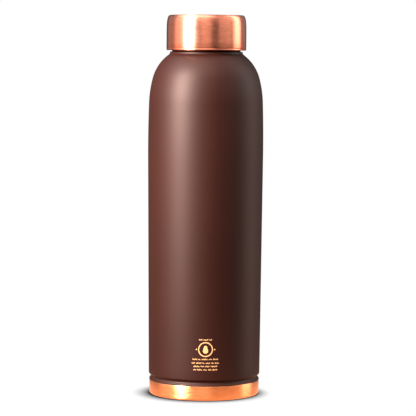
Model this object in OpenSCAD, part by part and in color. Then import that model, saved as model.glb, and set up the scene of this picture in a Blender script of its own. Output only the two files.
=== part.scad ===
/* [Body] */
// Widest outside diameter of the lacquered body
body_d = 77; // [72:0.5:82]
// Height of the widest point above the table
body_widest_z = 165.7; // [164:0.1:166.7]
// Outside diameter of the body just above the groove
body_low_d = 74.5; // [74:0.1:74.8]
// Thickness of the drawn copper wall
wall_t = 0.6; // [0.5:0.05:0.65]
// Thickness of the brown lacquer film
lacquer_t = 0.15; // [0.1:0.01:0.2]

/* [Shoulder] */
// Radius of the slow curve that starts the shoulder
ease_r = 900; // [860:5:930]
// Slope at which the slow curve ends, in degrees
ease_end = 1.9; // [1.8:0.05:2]
// Radius of the middle shoulder curve
upper_r = 71; // [68:0.5:74]
// Slope at which the middle curve ends, in degrees
upper_end = 15; // [14:0.5:16]
// Radius of the tight curve under the neck
crown_r = 28.5; // [28:0.1:29.5]
// Radius of the hollow fillet between shoulder and neck
neck_fillet = 2; // [1.8:0.1:2.4]
// Height of the plain neck above the fillet
neck_land = 0.42; // [0.32:0.02:0.8]

/* [Groove and ring] */
// Height of the bottom of the pressed groove
groove_z = 11.85; // [11.7:0.05:12.2]
// Outside diameter at the bottom of the groove
groove_d = 71.6; // [71.4:0.1:72]
// Height of the groove from its bottom to its upper edge
groove_up = 2.3; // [2.2:0.1:2.6]
// Height of the crest of the ring under the groove
ring_z = 9.95; // [9.8:0.05:10.1]
// Outside diameter of the ring under the groove
ring_d = 73.84; // [73.8:0.02:74]

/* [Base cup] */
// Outside diameter of the bare copper band
band_d = 73.6; // [73.4:0.1:73.7]
// Thickness of the base cup
base_t = 0.8; // [0.7:0.05:0.9]
// Radius of the outer bottom corner
base_corner = 1.5; // [1.2:0.1:3]
// Height of the raised middle of the underside
base_dome = 2.4; // [1.5:0.1:3]

/* [Neck] */
// Outside diameter of the lacquered neck root
neck_d = 48.4; // [48:0.1:49]
// Outside diameter of the plain neck tube above the step
tube_d = 43.8; // [43:0.1:44]
// Height of the drinking brim
brim_z = 250.7; // [250.4:0.05:250.7]

/* [Thread] */
// Rise of the thread in one turn
pitch = 4; // [4:0.1:4.2]
// Diameter of the threaded ring between its ridges
thread_core_d = 45.8; // [45.5:0.1:45.8]
// Diameter over the ridges of the neck thread
thread_major_d = 47.8; // [47.4:0.1:47.8]
// Radial clearance between the two threads
thread_gap = 0.3; // [0.25:0.05:0.35]
// Turns of ridge on the neck
neck_turns = 3.5; // [3:0.25:3.5]
// Turns of ridge in the cap
cap_turns = 2; // [1.5:0.25:2.5]

/* [Cap] */
// Outside diameter of the cap wall
cap_d = 53.2; // [53:0.05:53.4]
// Height of the cap rim above the table
cap_rim_z = 230; // [229.8:0.1:230.2]
// Height of the top of the cap above the table
cap_top_z = 253.4; // [253.4:0.1:254]
// Thickness of the cap wall
cap_t = 0.6; // [0.5:0.05:0.6]
// Radius of the rolled hem bead at the rim
hem_r = 0.65; // [0.6:0.05:0.7]

/* [Seal] */
// Inside diameter of the silicone washer
seal_in_d = 41.2; // [40:0.1:42]
// Outside diameter of the silicone washer
seal_out_d = 47.6; // [47:0.1:47.8]
// Thickness of the silicone washer
seal_t = 2; // [1.8:0.05:2]

/* [Mark] */
// Height of the middle of the ring-and-drop emblem
emblem_z = 34.2; // [30:0.1:38]
// Outside diameter of the emblem ring
emblem_d = 9.8; // [8:0.1:11]
// Turn of the mark round the body, in degrees
mark_turn = 1.4; // [-5:0.1:5]
// Thickness of the printed mark
mark_t = 0.05; // [0.03:0.01:0.08]

/* [Hidden] */
$fn = 96;

copper = [0.80, 0.45, 0.29];
lacquer_brown = [0.30, 0.17, 0.13];
silicone_white = [0.90, 0.89, 0.86];

// Body wall: a straight taper that runs into the slow curve at a tangent
wall_low_z = groove_z + groove_up;
ease_c = [body_d / 2 - ease_r, body_widest_z];
from_ease = [body_low_d / 2, wall_low_z] - ease_c;
taper_angle = atan(-from_ease[1] / from_ease[0]) - acos(ease_r / norm(from_ease));
function wall_r(z) = body_low_d / 2 + tan(taper_angle) * (z - wall_low_z);

// Shoulder: three arcs that run smoothly into each other, then a hollow fillet
upper_c = ease_c + (ease_r - upper_r) * [cos(ease_end), sin(ease_end)];
crown_c = upper_c + (upper_r - crown_r) * [cos(upper_end), sin(upper_end)];
fillet_x = neck_d / 2 + neck_fillet;
crown_end = acos((fillet_x - crown_c[0]) / (crown_r + neck_fillet));
fillet_c = [fillet_x, crown_c[1] + (crown_r + neck_fillet) * sin(crown_end)];

// Step at the top of the lacquered neck, on which the threaded ring stands
step_z = fillet_c[1] + neck_land;

// Ring crest under the groove: the lacquer runs over it by ring_turn degrees and stops there
ring_round = 0.5;
ring_c = [ring_d / 2 - ring_round, ring_z];
ring_turn = 64;
lap_z = ring_z - ring_round * sin(ring_turn);
inner_from_z = ring_z + 0.7;

// Base cup: the body tube is lapped inside it
lap_r = band_d / 2 - base_t;
lap_end_z = 3;
foot_out_r = band_d / 2 - base_corner;
foot_in_r = 31;
dome_r = 27;
band_top_round = 0.35;

// Neck: the tube rises inside the threaded ring and its lip is turned out over the ring
tube_r = tube_d / 2;
ring_chamfer = 0.3;
lip_r = 23;
lip_under_z = brim_z - wall_t;

// Threads
flank_root_w = 2.2;
flank_crest_w = 1.2;
ridge_embed = 0.3;
ridge_sink = 0.1;
ridge_steps = 48;
ridge_fade = 40;
core_r = thread_core_d / 2;
major_r = thread_major_d / 2;
neck_ridge_z = 234;
cap_ridge_z = 233;
cap_ridge_turn = 360 * (cap_ridge_z - neck_ridge_z + pitch / 2) / pitch;
insert_bore_r = major_r + thread_gap;
insert_crest_r = core_r + thread_gap;

// Cap: the outline is a quarter of a squared-off ellipse above a rolled hem with a narrow waist
cap_r = cap_d / 2;
cap_round_w = 4;
cap_round_h = 17.2;
cap_round_n = 4.4;
cap_round_steps = 22;
hem_proud = 0.03;
hem_waist = 0.1;
hem_start = -250;
hem_end = 50;
insert_z = cap_rim_z + 2 * hem_r;
insert_land = 4.9;
insert_h = 14.2;
insert_relief = 0.3;
seal_gap = 0.05;
seal_z = brim_z + seal_gap;
seal_edge = 0.4;

// Mark: a ring with a water drop in it and a dot on each side
emblem_line = 0.7;
drop_r = 1.75;
drop_low = 0.9;
drop_side = 30;
dot_r = 0.45;
dot_gap = 1.1;
mark_low_z = 16;
mark_high_z = 50;

// Rows of dashes, each given as [height, lengths]
dash_h = 0.95;
dash_gap = 0.7;
dash_rows = [
    [40.6, [2.2, 3.2, 1.7]],
    [27.7, [3.1, 1.5, 4.0, 2.3, 3.3]],
    [25.2, [2.2, 3.6, 1.4, 2.9, 1.8, 2.8]],
    [23.0, [4.1, 2.0, 3.2, 4.4]],
    [20.8, [1.6, 3.4, 2.6, 1.8, 3.6]]
];

// ---- outlines, as [radius, height] points ----

function arc(c, r, a0, a1, steps) =
    [for (i = [0 : steps]) let (a = a0 + (a1 - a0) * i / steps) c + r * [cos(a), sin(a)]];

// Arc without its first point, for a path that has just come from there
function arc_on(c, r, a0, a1, steps) = arc(c, r, a0 + (a1 - a0) / steps, a1, steps - 1);

function flip(path) = [for (i = [len(path) - 1 : -1 : 0]) path[i]];

// Unit vector to the left of the path at point i
function left_of(path, i) =
    let (a = path[max(i - 1, 0)], b = path[min(i + 1, len(path) - 1)], d = (b - a) / norm(b - a))
    [-d[1], d[0]];

// Path moved to its left by t
function moved(path, t) = [for (i = [0 : len(path) - 1]) path[i] + t * left_of(path, i)];

// Groove: a cosine hollow, with the ring on its lower side and the body wall on its upper side
groove_steps = 10;
ring_to_groove = [for (i = [1 : groove_steps - 1]) let (z = ring_z + (groove_z - ring_z) * i / groove_steps)
    [ring_d / 2 - (ring_d - groove_d) / 2 * pow(cos(90 * (groove_z - z) / (groove_z - ring_z)), 2), z]];
groove_to_wall = [for (i = [0 : groove_steps]) let (z = groove_z + groove_up * i / groove_steps)
    [wall_r(z) - (wall_r(groove_z) - groove_d / 2) * pow(cos(90 * (z - groove_z) / groove_up), 2), z]];

// Outside of the lacquer, from the lap above the base band up to the step in the neck
skin = concat(
    arc(ring_c, ring_round, -ring_turn, 0, steps = 5),
    ring_to_groove,
    groove_to_wall,
    arc(ease_c, ease_r, -taper_angle, ease_end, steps = 4),
    arc_on(upper_c, upper_r, ease_end, upper_end, steps = 6),
    arc_on(crown_c, crown_r, upper_end, crown_end, steps = 13),
    arc_on(fillet_c, neck_fillet, 180 + crown_end, 180, steps = 7),
    [[neck_d / 2, step_z]]
);

metal = moved(skin, lacquer_t);

// Inside of the vessel, from just above the ring up to the underside of the neck step
inside = [for (i = [0 : len(skin) - 1])
    let (p = skin[i] + (lacquer_t + wall_t) * left_of(skin, i))
    if (skin[i][1] >= inner_from_z && p[1] < step_z - wall_t) p];

// Underside from the axis out to the foot ring, with a smooth step down
underside_steps = 8;
underside = concat(
    [[0, base_dome]],
    [for (i = [0 : underside_steps]) let (t = i / underside_steps)
        [dome_r + (foot_in_r - dome_r) * t, base_dome * pow(cos(90 * t), 2)]]
);

// Cap wall over the rounded edge to the axis, the same with the waist under it, and its inner side
cap_dome = concat(
    [for (i = [0 : cap_round_steps]) let (a = 90 * i / cap_round_steps)
        [cap_r - cap_round_w + cap_round_w * pow(cos(a), 2 / cap_round_n),
         cap_top_z - cap_round_h + cap_round_h * pow(sin(a), 2 / cap_round_n)]],
    [[0, cap_top_z]]
);
cap_outline = concat([[cap_r - hem_waist, insert_z], [cap_r, insert_z + 3 * hem_waist]], cap_dome);
cap_lining = moved(cap_dome, cap_t);

// ---- helical ridge ----

// side is 1 for a ridge that stands outward and -1 for one that stands inward
function ridge_section(a, z, r_root, height, side, s) =
    let (
        slope = (flank_root_w - flank_crest_w) / 2 / height,
        base_w = flank_root_w / 2 + slope * ridge_embed,
        rise = height * s - ridge_sink * (1 - s),
        tip_w = flank_root_w / 2 - slope * rise,
        dir = [cos(a), sin(a), 0],
        base = (r_root - side * ridge_embed) * dir,
        tip = (r_root + side * rise) * dir
    )
    [base + [0, 0, z - base_w], tip + [0, 0, z - tip_w], tip + [0, 0, z + tip_w], base + [0, 0, z + base_w]];

module ridge(r_root, height, side, turns, z0, a0) {
    steps = round(ridge_steps * turns);
    sweep = 360 * turns;
    points = [for (i = [0 : steps])
        let (
            a = sweep * i / steps,
            s = min(1, a / ridge_fade, (sweep - a) / ridge_fade)
        )
        each ridge_section(a0 + a, z0 + pitch * a / 360, r_root, height, side, s)];
    sides = [for (i = [0 : steps - 1], k = [0 : 3])
        let (p = 4 * i + k, q = 4 * i + (k + 1) % 4)
        each [[p, q, q + 4], [p, q + 4, p + 4]]];
    last = 4 * steps;
    ends = [[3, 2, 1], [3, 1, 0], [last, last + 1, last + 2], [last, last + 2, last + 3]];
    faces = concat(sides, ends);
    polyhedron(points, side > 0 ? faces : [for (f = faces) flip(f)], convexity = 10);
}

// ---- pieces of the bottle ----

module body_shell() color(copper) rotate_extrude()
    polygon(concat(
        [[lap_r, lap_end_z], [lap_r, lap_z]],
        metal,
        [[tube_r, step_z], [tube_r, lip_under_z], [lip_r, lip_under_z], [lip_r, brim_z]],
        [[tube_r - wall_t, brim_z], [tube_r - wall_t, step_z - wall_t]],
        [[neck_d / 2 - lacquer_t - wall_t, step_z - wall_t]],
        flip(inside),
        [[lap_r - wall_t, lap_z + wall_t], [lap_r - wall_t, lap_end_z]]
    ));

module lacquer_coat() color(lacquer_brown) rotate_extrude()
    polygon(concat(skin, flip(metal)));

module base_cup() color(copper) rotate_extrude()
    polygon(concat(
        underside,
        arc([foot_out_r, base_corner], base_corner, -90, 0, steps = 6),
        arc([band_d / 2 - band_top_round, lap_z - band_top_round], band_top_round, 0, 90, steps = 3),
        [[lap_r, lap_z]],
        arc([foot_out_r, base_corner], base_corner - base_t, 0, -90, steps = 4),
        flip(moved(underside, base_t))
    ));

module neck_ring() color(copper) union() {
    rotate_extrude() polygon([
        [tube_r, step_z], [core_r - ring_chamfer, step_z], [core_r, step_z + ring_chamfer],
        [core_r, lip_under_z - ring_chamfer], [core_r - ring_chamfer, lip_under_z], [tube_r, lip_under_z]
    ]);
    ridge(core_r, major_r - core_r, 1, neck_turns, neck_ridge_z, 0);
}

// ---- printed mark ----

module emblem_2d() {
    difference() {
        circle(d = emblem_d);
        circle(d = emblem_d - 2 * emblem_line);
    }
    // a round belly, with a pointed top that leaves it at a tangent
    translate([0, -drop_low]) {
        circle(r = drop_r);
        polygon([
            drop_r * [-cos(drop_side), sin(drop_side)],
            drop_r * [cos(drop_side), sin(drop_side)],
            [0, drop_r / sin(drop_side)]
        ]);
    }
    for (side = [-1, 1]) translate([side * (emblem_d / 2 + dot_gap), 0]) circle(r = dot_r);
}

function sum_to(list, n) = n == 0 ? 0 : list[n - 1] + sum_to(list, n - 1);

module dash_row_2d(lengths) {
    total = sum_to(lengths, len(lengths)) + dash_gap * (len(lengths) - 1);
    for (i = [0 : len(lengths) - 1])
        translate([sum_to(lengths, i) + dash_gap * i - total / 2, -dash_h / 2]) square([lengths[i], dash_h]);
}

// The flat drawing is pushed through a thin skin that lies on the tapered wall
module front_mark() color(copper) rotate([0, 0, mark_turn]) intersection() {
    rotate([90, 0, 0]) linear_extrude(body_d) {
        translate([0, emblem_z]) emblem_2d();
        for (row = dash_rows) translate([0, row[0]]) dash_row_2d(row[1]);
    }
    rotate_extrude() polygon([
        [wall_r(mark_low_z), mark_low_z], [wall_r(mark_low_z) + mark_t, mark_low_z],
        [wall_r(mark_high_z) + mark_t, mark_high_z], [wall_r(mark_high_z), mark_high_z]
    ]);
}

// ---- pieces of the cap ----

module seal_washer() color(silicone_white) rotate_extrude()
    polygon([
        [seal_in_d / 2, seal_z], [seal_out_d / 2, seal_z],
        [seal_out_d / 2, seal_z + seal_t - seal_edge], [seal_out_d / 2 - seal_edge, seal_z + seal_t],
        [seal_in_d / 2, seal_z + seal_t]
    ]);

module cap_shell() color(copper) rotate_extrude()
    polygon(concat(
        arc([cap_r - hem_r + hem_proud, cap_rim_z + hem_r], hem_r, hem_start, hem_end, steps = 15),
        cap_outline,
        flip(cap_lining),
        [[cap_r - cap_t, insert_z]]
    ));

module cap_thread_insert() color(copper) union() {
    bore_r = insert_bore_r;
    land_r = cap_r - cap_t;
    rotate_extrude() polygon([
        [bore_r, insert_z], [land_r, insert_z], [land_r, insert_z + insert_land],
        [land_r - insert_relief, insert_z + insert_land + insert_relief],
        [land_r - insert_relief, insert_z + insert_h], [bore_r, insert_z + insert_h]
    ]);
    ridge(insert_bore_r, insert_bore_r - insert_crest_r, -1, cap_turns, cap_ridge_z, cap_ridge_turn);
}

body_shell();
lacquer_coat();
base_cup();
neck_ring();
front_mark();
seal_washer();
cap_shell();
cap_thread_insert();
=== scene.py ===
"""A copper water bottle: brown lacquered body, bare copper screw cap and bare copper base band."""

import math

import bpy
from mathutils import Matrix, Vector


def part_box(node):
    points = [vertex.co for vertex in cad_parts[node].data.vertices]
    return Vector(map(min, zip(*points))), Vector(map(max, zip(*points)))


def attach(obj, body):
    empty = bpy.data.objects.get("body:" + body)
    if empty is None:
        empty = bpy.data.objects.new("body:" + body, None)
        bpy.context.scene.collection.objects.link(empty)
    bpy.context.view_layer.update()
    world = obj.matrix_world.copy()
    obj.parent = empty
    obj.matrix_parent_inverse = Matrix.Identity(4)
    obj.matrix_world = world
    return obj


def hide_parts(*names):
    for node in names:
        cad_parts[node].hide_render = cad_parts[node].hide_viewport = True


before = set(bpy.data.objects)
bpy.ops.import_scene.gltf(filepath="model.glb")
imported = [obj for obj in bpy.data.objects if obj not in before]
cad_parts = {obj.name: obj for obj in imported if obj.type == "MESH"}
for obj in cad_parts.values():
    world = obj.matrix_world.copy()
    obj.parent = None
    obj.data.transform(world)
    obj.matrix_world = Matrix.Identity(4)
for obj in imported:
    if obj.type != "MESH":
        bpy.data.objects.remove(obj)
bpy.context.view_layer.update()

MM = 0.001
ON_AXIS = 1e-6


# The frame's measures in millimetres: the top, the bottom and the outer radius of a node

def top(node):
    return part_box(node)[1].z / MM


def bottom(node):
    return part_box(node)[0].z / MM


def reach(node):
    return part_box(node)[1].x / MM


# ---------------------------------------------------------------- sizes, in millimetres and degrees

# The wall, widest in its upper half, and the lacquer over it
BODY_R = reach("lacquer_coat")
BODY_WIDEST_Z = 165.7
BODY_LOW_R = 37.25
WALL_T = 0.6
LACQUER_T = 0.15
VESSEL_SOFT = 0.28

# The shoulder's three arcs, each with the angle where it ends, and the fillet into the neck
EASE_R, EASE_END = 900.0, 1.9
UPPER_R, UPPER_END = 71.0, 15.0
CROWN_R = 28.5
NECK_FILLET = 2.0

# The pressed groove and the raised ring below it
GROOVE_Z, GROOVE_R, GROOVE_UP = 11.85, 35.8, 2.3
RING_Z, RING_R, RING_ROUND, RING_TURN = 9.95, 36.92, 0.5, 64.0
INNER_FROM_Z = RING_Z + 0.7

# The base cup, which laps over the end of the body
BAND_R = reach("base_cup")
BASE_T, BASE_CORNER, BASE_EDGE, BASE_DOME = 0.8, 1.5, 0.35, 2.4
DOME_R, FOOT_IN_R = 27.0, 31.0
LAP_R, LAP_END_Z = BAND_R - BASE_T, bottom("body_shell")
LAP_Z = top("base_cup")

# The neck: a step where the lacquer ends, a narrow tube and a brim
NECK_R = 24.2
TUBE_R = 21.9
LIP_R = 23.0
STEP_Z = top("lacquer_coat")
STEP_ROUND = 0.14
# Painted shade: the lacquer this far below the step is a darker copy, for the shadow under the cap's rim
SHADED_LACQUER_H = 0.6
# Painted shade: the neck ring is painted dark up to this height above the step, for the shadow in the gap
# under the cap
NECK_SHADE_H = 1.2
BRIM_Z = top("body_shell")
LIP_UNDER_Z = BRIM_Z - WALL_T

# The screw thread
PITCH = 4.0
CORE_R, MAJOR_R, THREAD_GAP = 22.9, 23.9, 0.3
RIDGE_H = MAJOR_R - CORE_R
ROOT_W, CREST_W = 2.2, 1.2
NECK_TURNS, NECK_RIDGE_Z = 3.5, 234.0
CAP_TURNS, CAP_RIDGE_Z = 2.0, 233.0
RIDGE_FADE = 40.0
THREAD_CHAMFER = 0.3

# The cap, with a rolled hem at its rim, and the threaded ring inside it
CAP_R = 26.6
CAP_T = 0.6
CAP_RIM_Z, CAP_TOP_Z = bottom("cap_shell"), top("cap_shell")
CAP_ROUND_W, CAP_ROUND_H, CAP_ROUND_N = 4.0, 17.2, 4.4
CAP_TOP_RINGS = (16.0, 8.0, 0.0)
HEM_R, HEM_WAIST = 0.65, 0.1
HEM_PROUD = reach("cap_shell") - CAP_R
HEM_FROM, HEM_TO = -250, 50
INSERT_Z, INSERT_TOP_Z = bottom("cap_thread_insert"), top("cap_thread_insert")
INSERT_LAND, INSERT_RELIEF = 4.9, 0.3

# The washer
SEAL_IN_R, SEAL_OUT_R = 20.6, reach("seal_washer")
SEAL_Z, SEAL_TOP_Z = bottom("seal_washer"), top("seal_washer")
SEAL_SOFT = 0.4

# The printed mark: an emblem, and rows of dashes that are cut into ticks
MARK_TURN = 1.4
MARK_T, MARK_SUNK = 0.05, 0.012
EMBLEM_Z, EMBLEM_R, EMBLEM_LINE = 34.2, 4.9, 0.7
DROP_R, DROP_POINT, DROP_DOWN = 1.75, 3.5, 0.9
DOT_R, DOT_GAP = 0.45, 1.1
DASH_H, DASH_GAP = 0.95, 0.7
TICK_STEP, TICK_SHARE, TICK_CLIP = 0.62, 0.74, 0.25
TICK_RAISED, TICK_LOWERED = 0.22, 0.30
# Each row: its height, and the lengths of its dashes
DASH_ROWS = [
    (40.6, [2.2, 3.2, 1.7]),
    (27.7, [3.1, 1.5, 4.0, 2.3, 3.3]),
    (25.2, [2.2, 3.6, 1.4, 2.9, 1.8, 2.8]),
    (23.0, [4.1, 2.0, 3.2, 4.4]),
    (20.8, [1.6, 3.4, 2.6, 1.8, 3.6]),
]

SEGMENTS, THREAD_SEGMENTS, SEAL_SEGMENTS = 240, 180, 160


# ---------------------------------------------------------------- outlines, as (radius, height)

def arc(centre, r, a0, a1, steps):
    """Points on a circle from one angle to another."""
    points = []
    for i in range(steps + 1):
        a = math.radians(a0 + (a1 - a0) * i / steps)
        points.append((centre[0] + r * math.cos(a), centre[1] + r * math.sin(a)))
    return points


def moved(path, t):
    """The path moved to its left by t."""
    out = []
    for i, (x, z) in enumerate(path):
        ax, az = path[max(i - 1, 0)]
        bx, bz = path[min(i + 1, len(path) - 1)]
        length = math.hypot(bx - ax, bz - az)
        out.append((x - t * (bz - az) / length, z + t * (bx - ax) / length))
    return out


def softened(outline, radius, steps=4, least_turn=20.0):
    """A closed outline with each real corner rounded off to about this radius."""
    most = 0.45
    out = []
    count = len(outline)
    for i, p in enumerate(outline):
        a = Vector(outline[i - 1]) - Vector(p)
        b = Vector(outline[(i + 1) % count]) - Vector(p)
        turn = 180.0 - math.degrees(a.angle(b, 0.0))
        if turn < least_turn or p[0] < ON_AXIS:
            out.append(p)
            continue
        start = Vector(p) + a.normalized() * min(radius, most * a.length)
        end = Vector(p) + b.normalized() * min(radius, most * b.length)
        for k in range(steps + 1):
            t = k / steps
            q = start * (1 - t) ** 2 + Vector(p) * 2 * t * (1 - t) + end * t ** 2
            out.append((q.x, q.y))
    return out


def along(c, r, degrees):
    """The point at a distance and an angle from c."""
    a = math.radians(degrees)
    return (c[0] + r * math.cos(a), c[1] + r * math.sin(a))


# The wall tapers downwards in a straight line that touches the first arc
WALL_LOW_Z = GROOVE_Z + GROOVE_UP
EASE_C = (BODY_R - EASE_R, BODY_WIDEST_Z)
FROM_EASE = (BODY_LOW_R - EASE_C[0], WALL_LOW_Z - EASE_C[1])
SLOPE = math.atan(-FROM_EASE[1] / FROM_EASE[0])
TAPER = math.degrees(SLOPE - math.acos(EASE_R / math.hypot(*FROM_EASE)))
UPPER_C = along(EASE_C, EASE_R - UPPER_R, EASE_END)
CROWN_C = along(UPPER_C, UPPER_R - CROWN_R, UPPER_END)
CROWN_END = math.degrees(math.acos((NECK_R + NECK_FILLET - CROWN_C[0]) / (CROWN_R + NECK_FILLET)))
FILLET_C = along(CROWN_C, CROWN_R + NECK_FILLET, CROWN_END)


def wall_r(z):
    """The outer radius of the straight wall."""
    return BODY_LOW_R + math.tan(math.radians(TAPER)) * (z - WALL_LOW_Z)


def groove_outline(steps=20):
    """The ring crest, the cosine hollow of the groove and the start of the wall."""
    points = arc((RING_R - RING_ROUND, RING_Z), RING_ROUND, -RING_TURN, -6, 8)
    for i in range(steps):
        z = RING_Z + (GROOVE_Z - RING_Z) * i / steps
        hollow = math.cos(math.pi / 2 * (GROOVE_Z - z) / (GROOVE_Z - RING_Z)) ** 2
        points.append((RING_R - (RING_R - GROOVE_R) * hollow, z))
    for i in range(steps + 1):
        z = GROOVE_Z + GROOVE_UP * i / steps
        hollow = math.cos(math.pi / 2 * (z - GROOVE_Z) / GROOVE_UP) ** 2
        points.append((wall_r(z) - (wall_r(GROOVE_Z) - GROOVE_R) * hollow, z))
    return points


def skin_outline(wall_steps=24):
    """The outside of the lacquer, from the ring over the foot up to the step in the neck.
    Each arc of the shoulder starts just past the end of the one before it."""
    low = groove_outline()
    wall_top = BODY_WIDEST_Z - EASE_R * math.sin(math.radians(TAPER))
    wall = []
    for i in range(1, wall_steps):
        z = WALL_LOW_Z + (wall_top - WALL_LOW_Z) * i / wall_steps
        wall.append((wall_r(z), z))
    shoulder = arc(EASE_C, EASE_R, -TAPER, EASE_END, 12)
    shoulder += arc(UPPER_C, UPPER_R, EASE_END + 0.6, UPPER_END, 20)
    shoulder += arc(CROWN_C, CROWN_R, UPPER_END + 1, CROWN_END, 36)
    fillet = arc(FILLET_C, NECK_FILLET, 180 + CROWN_END - 4, 180, 12)
    edge = arc((NECK_R - STEP_ROUND, STEP_Z - STEP_ROUND), STEP_ROUND, 0, 90, 6)
    return low + wall + shoulder + fillet + edge


SKIN = skin_outline()
METAL = moved(SKIN, LACQUER_T)
INSIDE = []
for outer, inner in zip(SKIN, moved(SKIN, LACQUER_T + WALL_T)):
    if outer[1] >= INNER_FROM_Z and inner[1] < STEP_Z - WALL_T:
        INSIDE.append(inner)


def vessel_outline():
    """The sheet of the body: up the outside, over the brim and down the inside."""
    return (
        [(LAP_R, LAP_END_Z), (LAP_R, LAP_Z)]
        + METAL
        + [(NECK_R - 2 * STEP_ROUND, STEP_Z), (TUBE_R, STEP_Z)]
        + [(TUBE_R, LIP_UNDER_Z), (LIP_R, LIP_UNDER_Z), (LIP_R, BRIM_Z)]
        + [(TUBE_R - WALL_T, BRIM_Z), (TUBE_R - WALL_T, STEP_Z - WALL_T)]
        + [(NECK_R - LACQUER_T - WALL_T, STEP_Z - WALL_T)]
        + INSIDE[::-1]
        + [(LAP_R - WALL_T, LAP_Z + WALL_T), (LAP_R - WALL_T, LAP_END_Z)]
    )


def base_outline(steps=24):
    """The base cup: a shallow dome inside the foot ring, a tight corner and the band."""
    under = [(0.0, BASE_DOME), (DOME_R * 0.5, BASE_DOME)]
    for i in range(steps + 1):
        t = i / steps
        r = DOME_R + (FOOT_IN_R - DOME_R) * t
        under.append((r, BASE_DOME * math.cos(math.pi / 2 * t) ** 2))
    corner_c = (BAND_R - BASE_CORNER, BASE_CORNER)
    edge_c = (BAND_R - BASE_EDGE, LAP_Z - BASE_EDGE)
    return (
        under
        + arc(corner_c, BASE_CORNER, -90, 0, 12)
        + arc(edge_c, BASE_EDGE, 0, 90, 8)
        + [(LAP_R, LAP_Z)]
        + arc(corner_c, BASE_CORNER - BASE_T, 0, -90, 8)
        + moved(under, BASE_T)[::-1]
    )


def cap_outline(steps=60):
    """The cap: a superellipse from the wall to the flat top, and the rolled hem with a waist above it."""
    dome = []
    for i in range(steps + 1):
        a = math.pi / 2 * i / steps
        out = max(math.cos(a), 0.0) ** (2 / CAP_ROUND_N)
        up = math.sin(a) ** (2 / CAP_ROUND_N)
        dome.append((CAP_R - CAP_ROUND_W + CAP_ROUND_W * out, CAP_TOP_Z - CAP_ROUND_H + CAP_ROUND_H * up))
    for r in CAP_TOP_RINGS:
        dome.append((r, CAP_TOP_Z))
    hem = arc((CAP_R - HEM_R + HEM_PROUD, CAP_RIM_Z + HEM_R), HEM_R, HEM_FROM, HEM_TO, 40)
    waist_z = CAP_RIM_Z + 2 * HEM_R
    waist = [(CAP_R - HEM_WAIST, waist_z), (CAP_R, waist_z + 3 * HEM_WAIST)]
    return hem + waist + dome + moved(dome, CAP_T)[::-1] + [(CAP_R - CAP_T, waist_z)]


def seal_outline():
    return [(SEAL_IN_R, SEAL_Z), (SEAL_OUT_R, SEAL_Z), (SEAL_OUT_R, SEAL_TOP_Z), (SEAL_IN_R, SEAL_TOP_Z)]


# ---------------------------------------------------------------- mesh building

def finish_mesh(name, verts, faces, sharp=50.0):
    """A smooth piece from points in millimetres, with an edge where it turns by over sharp degrees."""
    mesh = bpy.data.meshes.new(name)
    mesh.from_pydata([(x * MM, y * MM, z * MM) for x, y, z in verts], [], faces)
    mesh.validate()
    mesh.shade_smooth()
    mesh.set_sharp_from_angle(angle=math.radians(sharp))
    piece = bpy.data.objects.new(name, mesh)
    bpy.context.scene.collection.objects.link(piece)
    return piece


def lathe(name, outline_at, segments=SEGMENTS):
    """A closed outline turned round the axis. outline_at gives the outline at an angle in degrees."""
    verts, rings = [], []
    for s in range(segments):
        degrees = 360.0 * s / segments
        a = math.radians(degrees)
        ring = []
        for k, (r, z) in enumerate(outline_at(degrees)):
            if r < ON_AXIS and s > 0:
                ring.append(rings[0][k])
                continue
            ring.append(len(verts))
            verts.append((r * math.cos(a), r * math.sin(a), z))
        rings.append(ring)
    faces = []
    count = len(rings[0])
    for s in range(segments):
        a, b = rings[s], rings[(s + 1) % segments]
        for k in range(count):
            n = (k + 1) % count
            loop = []
            for v in (a[k], b[k], b[n], a[n]):
                if v not in loop:
                    loop.append(v)
            if len(loop) > 2:
                faces.append(loop)
    return finish_mesh(name, verts, faces)


def turned(name, outline, segments=SEGMENTS):
    """One outline turned all the way round."""
    return lathe(name, lambda degrees: outline, segments)


def smooth_step(t):
    """A soft rise from 0 to 1."""
    t = min(1.0, max(0.0, t))
    return t * t * (3 - 2 * t)


def ridge_height(degrees, z, z0, a0, turns):
    """How far a helical ridge stands up here, from 0 to 1."""
    height = 0.0
    sweep = 360.0 * turns
    first = (degrees - a0) % 360.0
    for k in range(int(turns) + 1):
        a = first + 360.0 * k
        if a > sweep:
            break
        off = abs(z - z0 - PITCH * a / 360.0)
        flank = smooth_step((ROOT_W / 2 - off) / ((ROOT_W - CREST_W) / 2))
        fade = smooth_step(min(a, sweep - a) / RIDGE_FADE)
        height = max(height, flank * fade)
    return height


def neck_ring_outline(degrees, rows=118):
    """The ring round the neck tube, with the ridge standing out from it."""
    c = THREAD_CHAMFER
    points = [(TUBE_R, STEP_Z), (CORE_R - c, STEP_Z), (CORE_R, STEP_Z + c)]
    low, high = STEP_Z + 2 * c, LIP_UNDER_Z - 2 * c
    for i in range(rows + 1):
        z = low + (high - low) * i / rows
        h = ridge_height(degrees, z, NECK_RIDGE_Z, 0.0, NECK_TURNS)
        points.append((CORE_R + RIDGE_H * h, z))
    points += [(CORE_R, LIP_UNDER_Z - c), (CORE_R - c, LIP_UNDER_Z), (TUBE_R, LIP_UNDER_Z)]
    return points


# The cap's ridge starts where it lies midway between two turns of the neck's ridge
BORE_R = MAJOR_R + THREAD_GAP
CAP_RIDGE_TURN = 360.0 * (CAP_RIDGE_Z - NECK_RIDGE_Z + PITCH / 2) / PITCH


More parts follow.
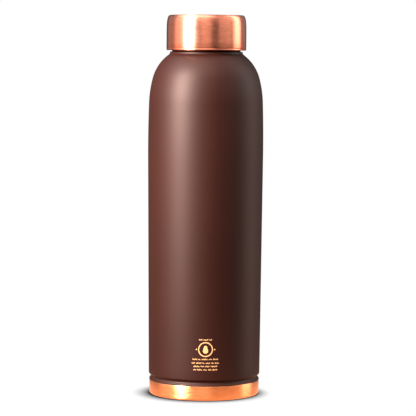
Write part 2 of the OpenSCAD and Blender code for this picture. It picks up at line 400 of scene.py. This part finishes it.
def insert_outline(degrees, rows=84):
    """The ring inside the cap, with the ridge standing into its bore."""
    c = THREAD_CHAMFER
    land_r = CAP_R - CAP_T
    land_z = INSERT_Z + INSERT_LAND
    relief_r = land_r - INSERT_RELIEF
    points = [(land_r, INSERT_Z), (land_r, land_z), (relief_r, land_z + INSERT_RELIEF)]
    points += [(relief_r, INSERT_TOP_Z - c), (relief_r - c, INSERT_TOP_Z)]
    points += [(BORE_R + c, INSERT_TOP_Z), (BORE_R, INSERT_TOP_Z - c)]
    low, high = INSERT_Z + 2 * c, INSERT_TOP_Z - 2 * c
    for i in range(rows + 1):
        z = high + (low - high) * i / rows
        h = ridge_height(degrees, z, CAP_RIDGE_Z, CAP_RIDGE_TURN, CAP_TURNS)
        points.append((BORE_R - RIDGE_H * h, z))
    points += [(BORE_R, INSERT_Z + c), (BORE_R + c, INSERT_Z)]
    return points


# ---------------------------------------------------------------- the printed mark

def ring_2d(cx, cy, r_in, r_out, steps=72):
    """A flat ring, as points and the faces between them."""
    verts, faces = [], []
    for i in range(steps):
        a = 2 * math.pi * i / steps
        verts.append((cx + r_in * math.cos(a), cy + r_in * math.sin(a)))
        verts.append((cx + r_out * math.cos(a), cy + r_out * math.sin(a)))
    for i in range(steps):
        j = (i + 1) % steps
        faces.append((2 * i, 2 * i + 1, 2 * j + 1, 2 * j))
    return verts, faces


def filled_2d(cx, cy, edge, inner=0.5, steps=48):
    """A shape round a centre, from a function of angle to radius, with one ring inside it."""
    verts, faces = [(cx, cy)], []
    for share in (inner, 1.0):
        for i in range(steps):
            a = 2 * math.pi * i / steps
            r = share * edge(a)
            verts.append((cx + r * math.cos(a), cy + r * math.sin(a)))
    for i in range(steps):
        j = (i + 1) % steps
        faces.append((0, 1 + i, 1 + j))
        faces.append((1 + i, 1 + steps + i, 1 + steps + j, 1 + j))
    return verts, faces


def drop_edge(a):
    """Round below, and drawn out to a point above."""
    sharpness = 7
    up = max(0.0, math.sin(a))
    return DROP_R + (DROP_POINT - DROP_R) * up ** sharpness


def tick_2d(x0, x1, y0, y1):
    """A small bar with clipped corners."""
    c = TICK_CLIP * (x1 - x0)
    below = [(x0 + c, y0), (x1 - c, y0), (x1, y0 + c)]
    above = [(x1, y1 - c), (x1 - c, y1), (x0 + c, y1)]
    left = [(x0, y1 - c), (x0, y0 + c)]
    return below + above + left, [(0, 1, 2, 7), (7, 2, 3, 6), (6, 3, 4, 5)]


def dash_shapes(x0, x1, z, row):
    """One dash of a row, cut into fine upright ticks of changing height."""
    count = max(2, round((x1 - x0) / TICK_STEP))
    step = (x1 - x0) / count
    shapes = []
    for i in range(count):
        # An uneven pattern along the rows, which is the same on every run
        change = math.sin(2.3 * i + 1.7 * row + 0.9 * x0)
        low = z - DASH_H / 2 + (TICK_RAISED if change > 0.5 else 0.0)
        high = z + DASH_H / 2 - (TICK_LOWERED if change < -0.2 else 0.0)
        shapes.append(tick_2d(x0 + i * step, x0 + (i + TICK_SHARE) * step, low, high))
    return shapes


def mark_shapes():
    """The ring, the drop and the two dots of the emblem, and all the ticks."""
    shapes = [ring_2d(0, EMBLEM_Z, EMBLEM_R - EMBLEM_LINE, EMBLEM_R)]
    shapes.append(filled_2d(0, EMBLEM_Z - DROP_DOWN, drop_edge))
    for side in (-1, 1):
        shapes.append(filled_2d(side * (EMBLEM_R + DOT_GAP), EMBLEM_Z, lambda a: DOT_R))
    for row, (z, lengths) in enumerate(DASH_ROWS):
        x = -(sum(lengths) + DASH_GAP * (len(lengths) - 1)) / 2
        for length in lengths:
            shapes += dash_shapes(x, x + length, z, row)
            x += length + DASH_GAP
    return shapes


def build_mark(name):
    """Thin closed solids wrapped round the front of the wall."""
    verts, faces = [], []
    for flat, quads in mark_shapes():
        base = len(verts)
        count = len(flat)
        for lift in (MARK_T, -MARK_SUNK):
            for x, z in flat:
                r = wall_r(z) + lift
                a = math.radians(MARK_TURN - 90) + x / wall_r(z)
                verts.append((r * math.cos(a), r * math.sin(a), z))
        edges = {}
        for quad in quads:
            faces.append([base + v for v in quad])
            faces.append([base + count + v for v in reversed(quad)])
            for k, v in enumerate(quad):
                w = quad[(k + 1) % len(quad)]
                if (w, v) in edges:
                    del edges[(w, v)]
                else:
                    edges[(v, w)] = True
        for v, w in edges:
            faces.append([base + w, base + v, base + count + v, base + count + w])
    return finish_mesh(name, verts, faces, sharp=30.0)


# ---------------------------------------------------------------- materials

def new_material(name):
    """A material with only the Principled shader in it."""
    material = bpy.data.materials.new(name)
    material.use_nodes = True
    tree = material.node_tree
    return material, tree, tree.nodes["Principled BSDF"]


def maths(tree, operation, a, b=None, c=None, clamp=False):
    """One Math node. Each of a, b and c is a number or the output of another node."""
    node = tree.nodes.new("ShaderNodeMath")
    node.operation = operation
    node.use_clamp = clamp
    for socket, value in zip(node.inputs, (a, b, c)):
        if value is None:
            continue
        if isinstance(value, (int, float)):
            socket.default_value = value
        else:
            tree.links.new(value, socket)
    return node.outputs[0]


def weighted(tree, a, share_a, b, share_b):
    """The sum of two values, each times its share."""
    return maths(tree, "ADD", maths(tree, "MULTIPLY", a, share_a), maths(tree, "MULTIPLY", b, share_b))


def swing(tree, value, width, middle):
    """A texture of 0 to 1 turned into a value that swings round a middle one."""
    off = maths(tree, "MULTIPLY", maths(tree, "SUBTRACT", value, 0.5), width)
    return maths(tree, "ADD", off, middle, clamp=True)


def from_axis(tree, x, y):
    """The distance from the upright axis."""
    squares = maths(tree, "ADD", maths(tree, "MULTIPLY", x, x), maths(tree, "MULTIPLY", y, y))
    return maths(tree, "SQRT", squares)


def ramp(tree, value, stops):
    """A colour from a value. Each stop is a value and its colour."""
    node = tree.nodes.new("ShaderNodeValToRGB")
    tree.links.new(value, node.inputs[0])
    elements = node.color_ramp.elements
    while len(elements) < len(stops):
        elements.new(0.5)
    for element, (place, colour) in zip(elements, stops):
        element.position = place
        element.color = (*colour, 1.0)
    return node.outputs[0]


def mixed(tree, share, colour_a, colour_b):
    """A fixed colour at share 0 and the output of another node at share 1."""
    node = tree.nodes.new("ShaderNodeMix")
    node.data_type = "RGBA"
    tree.links.new(share, node.inputs["Factor"])
    node.inputs[6].default_value = (*colour_a, 1.0)
    tree.links.new(colour_b, node.inputs[7])
    return node.outputs[2]


def noise(tree, vector, scale, detail, roughness=0.5):
    node = tree.nodes.new("ShaderNodeTexNoise")
    node.inputs["Scale"].default_value = scale
    node.inputs["Detail"].default_value = detail
    node.inputs["Roughness"].default_value = roughness
    tree.links.new(vector, node.inputs["Vector"])
    return node.outputs["Fac"]


def object_place(tree):
    return tree.nodes.new("ShaderNodeTexCoord").outputs["Object"]


def split(tree, vector):
    node = tree.nodes.new("ShaderNodeSeparateXYZ")
    tree.links.new(vector, node.inputs[0])
    return node.outputs


def combine(tree, x, y, z):
    node = tree.nodes.new("ShaderNodeCombineXYZ")
    for socket, value in zip(node.inputs, (x, y, z)):
        tree.links.new(value, socket)
    return node.outputs[0]


# Brush marks: how much each kind changes round the axis, and how wide it is in metres
SCRATCHES = (7.0, 0.00028)
STREAKS = (5.0, 0.0011)
BANDS = (0.9, 0.004)
DRAW_LINES = (2.0, 0.0012)


def round_place(tree, spin_scale, step):
    """A vector that changes slowly round the axis, and once per step along the turned surface."""
    least_r = 0.0005
    x, y, z = split(tree, object_place(tree))
    r = from_axis(tree, x, y)
    safe_r = maths(tree, "MAXIMUM", r, least_r)
    across = maths(tree, "MULTIPLY", maths(tree, "DIVIDE", x, safe_r), spin_scale)
    around = maths(tree, "MULTIPLY", maths(tree, "DIVIDE", y, safe_r), spin_scale)
    run = maths(tree, "MULTIPLY", maths(tree, "SUBTRACT", z, r), 1.0 / step)
    return combine(tree, across, around, run)


# Depths of relief, in metres
FINE_RELIEF, PEEL_RELIEF = 0.00001, 0.00002
CAP_RELIEF, BASE_RELIEF = 0.000022, 0.000045


def bump(tree, shader, height, distance):
    """Relief on the surface, from a texture and its depth in metres."""
    node = tree.nodes.new("ShaderNodeBump")
    node.inputs["Distance"].default_value = distance
    node.inputs["Strength"].default_value = 1.0
    tree.links.new(height, node.inputs["Height"])
    tree.links.new(node.outputs["Normal"], shader.inputs["Normal"])


# Painted shade for the recess under the cap: its colour, and the heights over which its edge fades and
# wanders
PAINTED_SHADE = (0.008, 0.004, 0.003)
SHADE_FADE, SHADE_RAGGED = 0.5 * MM, 0.3 * MM
BRUSHED_ROUGHNESS, BRUSHED_SPREAD = 0.34, 0.4


def shaded_below(tree, colour, below, tone):
    """Painted shade: the colour turned dark below a height in metres, with an uneven soft edge."""
    edge = maths(tree, "MULTIPLY", maths(tree, "SUBTRACT", tone, 0.5), SHADE_RAGGED)
    z = maths(tree, "ADD", split(tree, object_place(tree))[2], edge)
    clean = maths(tree, "DIVIDE", maths(tree, "SUBTRACT", z, below), SHADE_FADE, clamp=True)
    return mixed(tree, clean, PAINTED_SHADE, colour)


def brushed_copper(name, dark, bright, depth, coat, shade_below=0.0):
    """Bright copper brushed round the axis: short fine scratches, soft bands and stretched highlights.
    Where a height is given, the metal below it is painted dark, as painted shade in the gap under the
    cap."""
    material, tree, shader = new_material(name)
    shader.inputs["Metallic"].default_value = 1.0
    shader.inputs["Anisotropic"].default_value = 0.9
    shader.inputs["Coat Weight"].default_value = coat
    shader.inputs["Coat Roughness"].default_value = 0.28
    shader.inputs["Anisotropic Rotation"].default_value = 0.25
    tangent = tree.nodes.new("ShaderNodeTangent")
    tangent.direction_type = "RADIAL"
    tangent.axis = "Z"
    tree.links.new(tangent.outputs[0], shader.inputs["Tangent"])
    scratches = noise(tree, round_place(tree, *SCRATCHES), 1.0, 2.0, 0.6)
    streaks = noise(tree, round_place(tree, *STREAKS), 1.0, 3.0, 0.6)
    bands = noise(tree, round_place(tree, *BANDS), 1.0, 2.0)
    tone = noise(tree, object_place(tree), 22.0, 3.0)
    lines = weighted(tree, scratches, 0.45, streaks, 0.55)
    slow = weighted(tree, bands, 0.5, tone, 0.5)
    shade = weighted(tree, lines, 0.7, slow, 0.3)
    colour = ramp(tree, shade, [(0.40, dark), (0.58, bright)])
    if shade_below:
        colour = shaded_below(tree, colour, shade_below * MM, tone)
    tree.links.new(colour, shader.inputs["Base Color"])
    rough = swing(tree, lines, BRUSHED_SPREAD, BRUSHED_ROUGHNESS)
    tree.links.new(rough, shader.inputs["Roughness"])
    bump(tree, shader, lines, depth)
    return material


LACQUER_DARK, LACQUER_BRIGHT = (0.0115, 0.0010, 0.0002), (0.0165, 0.0017, 0.0004)
LACQUER_SHEEN = (1.0, 0.70, 0.60)


def brown_lacquer(name, sheen=1.0):
    """Satin lacquer over copper: a dark, warm sheen with a very fine orange peel."""
    material, tree, shader = new_material(name)
    shader.inputs["Metallic"].default_value = 0.0
    shader.inputs["IOR"].default_value = 1.38
    tint = [sheen * part for part in LACQUER_SHEEN]
    shader.inputs["Specular Tint"].default_value = (*tint, 1.0)
    place = object_place(tree)
    cloud = noise(tree, place, 14.0, 4.0)
    grain = noise(tree, place, 1500.0, 2.0)
    peel = noise(tree, place, 420.0, 2.0)
    shade = weighted(tree, cloud, 0.6, grain, 0.4)
    colour = ramp(tree, shade, [(0.3, LACQUER_DARK), (0.7, LACQUER_BRIGHT)])
    tree.links.new(colour, shader.inputs["Base Color"])
    tree.links.new(swing(tree, cloud, 0.08, 0.515), shader.inputs["Roughness"])
    bump(tree, shader, weighted(tree, peel, 0.7, grain, 0.3), PEEL_RELIEF)
    return material


def plain_copper(name):
    """The drawn and lightly polished inside of the vessel."""
    material, tree, shader = new_material(name)
    shader.inputs["Metallic"].default_value = 1.0
    lines = noise(tree, round_place(tree, *DRAW_LINES), 1.0, 3.0, 0.6)
    tone = noise(tree, object_place(tree), 35.0, 4.0)
    shade = weighted(tree, lines, 0.4, tone, 0.6)
    colour = ramp(tree, shade, [(0.3, (0.62, 0.25, 0.13)), (0.7, (0.80, 0.38, 0.22))])
    tree.links.new(colour, shader.inputs["Base Color"])
    tree.links.new(swing(tree, shade, 0.3, 0.3), shader.inputs["Roughness"])
    bump(tree, shader, lines, FINE_RELIEF)
    return material


def printed_copper(name):
    """The flat, slightly grainy copper-gold print of the mark."""
    material, tree, shader = new_material(name)
    shader.inputs["Metallic"].default_value = 0.2
    place = object_place(tree)
    grain = noise(tree, place, 2600.0, 3.0)
    tone = noise(tree, place, 160.0, 2.0)
    shade = weighted(tree, grain, 0.5, tone, 0.5)
    colour = ramp(tree, shade, [(0.35, (0.55, 0.27, 0.10)), (0.65, (0.80, 0.42, 0.18))])
    tree.links.new(colour, shader.inputs["Base Color"])
    shader.inputs["Roughness"].default_value = 0.42
    bump(tree, shader, grain, FINE_RELIEF)
    return material


def silicone(name):
    """Matte translucent silicone with a faint dusty bloom."""
    material, tree, shader = new_material(name)
    place = object_place(tree)
    cloud = noise(tree, place, 120.0, 4.0)
    colour = ramp(tree, cloud, [(0.3, (0.74, 0.73, 0.69)), (0.7, (0.84, 0.83, 0.80))])
    tree.links.new(colour, shader.inputs["Base Color"])
    shader.inputs["Subsurface Weight"].default_value = 0.3
    shader.inputs["Subsurface Radius"].default_value = (0.002, 0.002, 0.002)
    tree.links.new(swing(tree, cloud, 0.2, 0.5), shader.inputs["Roughness"])
    bump(tree, shader, noise(tree, place, 900.0, 2.0), FINE_RELIEF)
    return material


# ---------------------------------------------------------------- the pieces

def place_piece(piece, node, body, material):
    """Gives a piece its material, puts it on the body it rides on and hides the CAD node it stands for.
    """
    piece.data.materials.append(material)
    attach(piece, body)
    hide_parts(node)


# Each: its dark and bright colours, the depth of the brush marks and the weight of the clear coat
THREAD_LOOK = ((0.70, 0.22, 0.10), (0.90, 0.32, 0.16), FINE_RELIEF, 0.0)
CAP_COPPER = brushed_copper("cap_copper", (0.79, 0.220, 0.115), (0.97, 0.310, 0.172), CAP_RELIEF, 0.6)
BASE_COPPER = brushed_copper("base_copper", (0.90, 0.29, 0.093), (1.00, 0.38, 0.145), BASE_RELIEF, 0.8)
THREAD_COPPER = brushed_copper("thread_copper", *THREAD_LOOK)
# The neck ring is painted dark near the step: painted shade in the gap under the cap
NECK_COPPER = brushed_copper("neck_copper", *THREAD_LOOK, shade_below=STEP_Z + NECK_SHADE_H)
LACQUER = brown_lacquer("brown_lacquer")
INNER_COPPER = plain_copper("inner_copper")

lacquer = turned("lacquered_body", SKIN + METAL[::-1])
place_piece(lacquer, "lacquer_coat", "bottle", LACQUER)
# Painted shade: the top of the coat, just under the cap's rim, gets a copy of the lacquer with a tenth of
# its sheen, so that it reads as the shadow under the rim
lacquer.data.materials.append(brown_lacquer("lacquer_painted_shade", sheen=0.1))
for face in lacquer.data.polygons:
    if face.center.z > (STEP_Z - SHADED_LACQUER_H) * MM:
        face.material_index = 1

vessel = turned("copper_vessel", softened(vessel_outline(), VESSEL_SOFT))
place_piece(vessel, "body_shell", "bottle", INNER_COPPER)

base = turned("copper_base_cup", base_outline())
place_piece(base, "base_cup", "bottle", BASE_COPPER)

neck = lathe("threaded_neck_ring", neck_ring_outline, THREAD_SEGMENTS)
place_piece(neck, "neck_ring", "bottle", NECK_COPPER)

mark = build_mark("printed_mark")
place_piece(mark, "front_mark", "bottle", printed_copper("mark_print"))

seal = turned("silicone_washer", softened(seal_outline(), SEAL_SOFT), SEAL_SEGMENTS)
place_piece(seal, "seal_washer", "seal", silicone("silicone"))

cap = turned("copper_cap", cap_outline())
place_piece(cap, "cap_shell", "cap", CAP_COPPER)

insert = lathe("cap_thread_ring", insert_outline, THREAD_SEGMENTS)
place_piece(insert, "cap_thread_insert", "cap", THREAD_COPPER)


# ---------------------------------------------------------------- stage, light and camera

def panel(tree, azimuth, elevation, place, size, edge, radiance):
    """A soft-edged bright panel in the sky of the studio. Its place, size and edge are in degrees."""
    share = None
    for angle, middle, half, soft in zip((azimuth, elevation), place, size, edge):
        off = maths(tree, "SUBTRACT", angle, math.radians(middle))
        if angle is azimuth:
            off = maths(tree, "WRAP", off, math.pi, -math.pi)
        fall = tree.nodes.new("ShaderNodeMapRange")
        fall.interpolation_type = "SMOOTHSTEP"
        tree.links.new(maths(tree, "ABSOLUTE", off), fall.inputs["Value"])
        fall.inputs["From Min"].default_value = math.radians(half + soft)
        fall.inputs["From Max"].default_value = math.radians(half)
        share = fall.outputs[0] if share is None else maths(tree, "MULTIPLY", share, fall.outputs[0])
    return maths(tree, "MULTIPLY", share, radiance)


# The colour of the light that comes up from below, and the strength of what is the same all round
BOUNCE = (1.0, 0.55, 0.34)
WHITE = (1.0, 1.0, 1.0)
AMBIENT, BACKGROUND = 0.05, 1.0


def studio_world(panels):
    """Soft panels all round for light and reflections, and a plain white background behind the object."""
    world = bpy.data.worlds.new("studio")
    world.use_nodes = True
    tree = world.node_tree
    tree.nodes.clear()
    x, y, z = split(tree, tree.nodes.new("ShaderNodeTexCoord").outputs["Generated"])
    azimuth = maths(tree, "ARCTAN2", x, maths(tree, "MULTIPLY", y, -1.0))
    elevation = maths(tree, "ARCSINE", z)
    glow = None
    for one in panels:
        light = panel(tree, azimuth, elevation, *one)
        glow = maths(tree, "ADD", light, AMBIENT if glow is None else glow)
    around = tree.nodes.new("ShaderNodeBackground")
    tree.links.new(glow, around.inputs["Strength"])
    # A ramp runs from 0 to 1, so the elevation in radians is raised by a half
    level = maths(tree, "ADD", elevation, 0.5)
    tint = ramp(tree, level, [(0.30, BOUNCE), (0.56, WHITE)])
    tree.links.new(tint, around.inputs["Color"])
    seen = tree.nodes.new("ShaderNodeBackground")
    seen.inputs["Color"].default_value = (*WHITE, 1.0)
    seen.inputs["Strength"].default_value = BACKGROUND
    rays = tree.nodes.new("ShaderNodeLightPath")
    mix = tree.nodes.new("ShaderNodeMixShader")
    out = tree.nodes.new("ShaderNodeOutputWorld")
    tree.links.new(rays.outputs["Is Camera Ray"], mix.inputs[0])
    tree.links.new(around.outputs[0], mix.inputs[1])
    tree.links.new(seen.outputs[0], mix.inputs[2])
    tree.links.new(mix.outputs[0], out.inputs[0])
    bpy.context.scene.world = world


def key_light(name, azimuth, distance, height, width, tall, radiance):
    """A soft box that stands close by, so that the upper half of the bottle catches more of it."""
    light = bpy.data.lights.new(name, "AREA")
    light.shape = "RECTANGLE"
    light.size = width
    light.size_y = tall
    light.energy = radiance * math.pi * width * tall
    box = bpy.data.objects.new(name, light)
    bpy.context.scene.collection.objects.link(box)
    a = math.radians(azimuth)
    box.location = (distance * math.sin(a), -distance * math.cos(a), height)
    box.rotation_euler = (math.radians(90), 0, a)
    box.visible_camera = False


# The floor, in metres: half its width, its place just under the foot, and how far the painted contact
# shadow reaches. The painted shadow leans to the left and to the front by these shares.
FLOOR_HALF, FLOOR_Z = 0.15, -0.00005
SHADOW_REACH = 0.013
SHADOW_LEFT, SHADOW_FRONT = 0.05, 0.03
# Its light, as the camera sees it and as the bottle gets it, which fades from a radius over a width
FLOOR_SEEN, FLOOR_LIGHT = 1.02, 1.3
FLOOR_FADE_R, FLOOR_FADE_W = 0.055, 0.05


def white_floor():
    """Pale paper that glows evenly, with a painted contact shadow: dark only right at the foot of what
    stands on it.
    """
    corners = [(-1, -1), (1, -1), (1, 1), (-1, 1)]
    verts = [(x * FLOOR_HALF, y * FLOOR_HALF, FLOOR_Z) for x, y in corners]
    mesh = bpy.data.meshes.new("floor")
    mesh.from_pydata(verts, [], [(0, 1, 2, 3)])
    floor = bpy.data.objects.new("floor", mesh)
    bpy.context.scene.collection.objects.link(floor)
    material, tree, shader = new_material("floor_paper")
    tree.nodes.remove(shader)
    x, y, z = split(tree, object_place(tree))
    r = from_axis(tree, x, y)
    # Painted contact shadow, seen only by the camera: the floor's colour goes dark where little open sky
    # is near the foot, more to the left and to the front
    near = tree.nodes.new("ShaderNodeAmbientOcclusion")
    near.inputs["Distance"].default_value = SHADOW_REACH
    near.samples = 8
    lean = weighted(tree, x, SHADOW_LEFT, y, SHADOW_FRONT)
    open_sky = maths(tree, "ADD", near.outputs["AO"], maths(tree, "DIVIDE", lean, r))
    shade = ramp(tree, open_sky, [(0.47, (0.0, 0.0, 0.0)), (0.93, WHITE)])
    glow = tree.nodes.new("ShaderNodeEmission")
    away = maths(tree, "DIVIDE", maths(tree, "SUBTRACT", r, FLOOR_FADE_R), FLOOR_FADE_W, clamp=True)
    seen = tree.nodes.new("ShaderNodeLightPath").outputs["Is Camera Ray"]
    unseen = maths(tree, "SUBTRACT", 1.0, seen)
    lit = maths(tree, "MULTIPLY", unseen, maths(tree, "SUBTRACT", FLOOR_LIGHT, away))
    strength = maths(tree, "ADD", lit, maths(tree, "MULTIPLY", seen, FLOOR_SEEN))
    tree.links.new(strength, glow.inputs["Strength"])
    tree.links.new(mixed(tree, seen, BOUNCE, shade), glow.inputs["Color"])
    tree.links.new(glow.outputs[0], tree.nodes["Material Output"].inputs["Surface"])
    mesh.materials.append(material)


# The camera stands level with the cap's rim and looks down a little: metres, degrees and lens in mm
CAMERA_SIDE, CAMERA_AWAY = 0.00186, 1.44
CAMERA_DOWN, CAMERA_ROLL = 4.185, 0.42
CAMERA_LENS = 186.4


def add_camera():
    data = bpy.data.cameras.new("camera")
    data.lens = CAMERA_LENS
    data.sensor_width = 36.0
    data.clip_end = 50.0
    camera = bpy.data.objects.new("camera", data)
    bpy.context.scene.collection.objects.link(camera)
    camera.location = (CAMERA_SIDE, -CAMERA_AWAY, CAP_RIM_Z * MM)
    tilt = Matrix.Rotation(math.radians(90 - CAMERA_DOWN), 4, "X")
    roll = Matrix.Rotation(math.radians(CAMERA_ROLL), 4, "Z")
    camera.rotation_euler = (tilt @ roll).to_euler()
    bpy.context.scene.camera = camera


# Each panel: its azimuth and elevation, its half width and half height, its soft edges and its radiance.
# Azimuth is 0 behind the camera and grows to the camera's right.
PANELS = [
    ((-47, 2), (3, 25), (13, 30), 2.6),
    ((-76, 10), (20, 30), (15, 30), 1.25),
    ((-2, 12), (8, 22), (12, 22), 0.75),
    ((52, 28), (12, 20), (14, 25), 0.42),
    ((76, 35), (6, 22), (12, 25), 0.38),
    ((102, 30), (9, 26), (9, 30), 4.8),
    ((138, 20), (10, 30), (14, 25), 0.3),
    ((-122, 20), (14, 30), (24, 25), 0.36),
    ((-45, 64), (60, 16), (40, 16), 4.6),
]
studio_world(PANELS)
key_light("key", azimuth=-51, distance=0.5, height=0.40, width=0.14, tall=0.47, radiance=100.0)
key_light("fill", azimuth=56, distance=0.4, height=0.40, width=0.28, tall=0.30, radiance=0.8)
white_floor()
add_camera()
bpy.context.scene.view_settings.view_transform = "Standard"
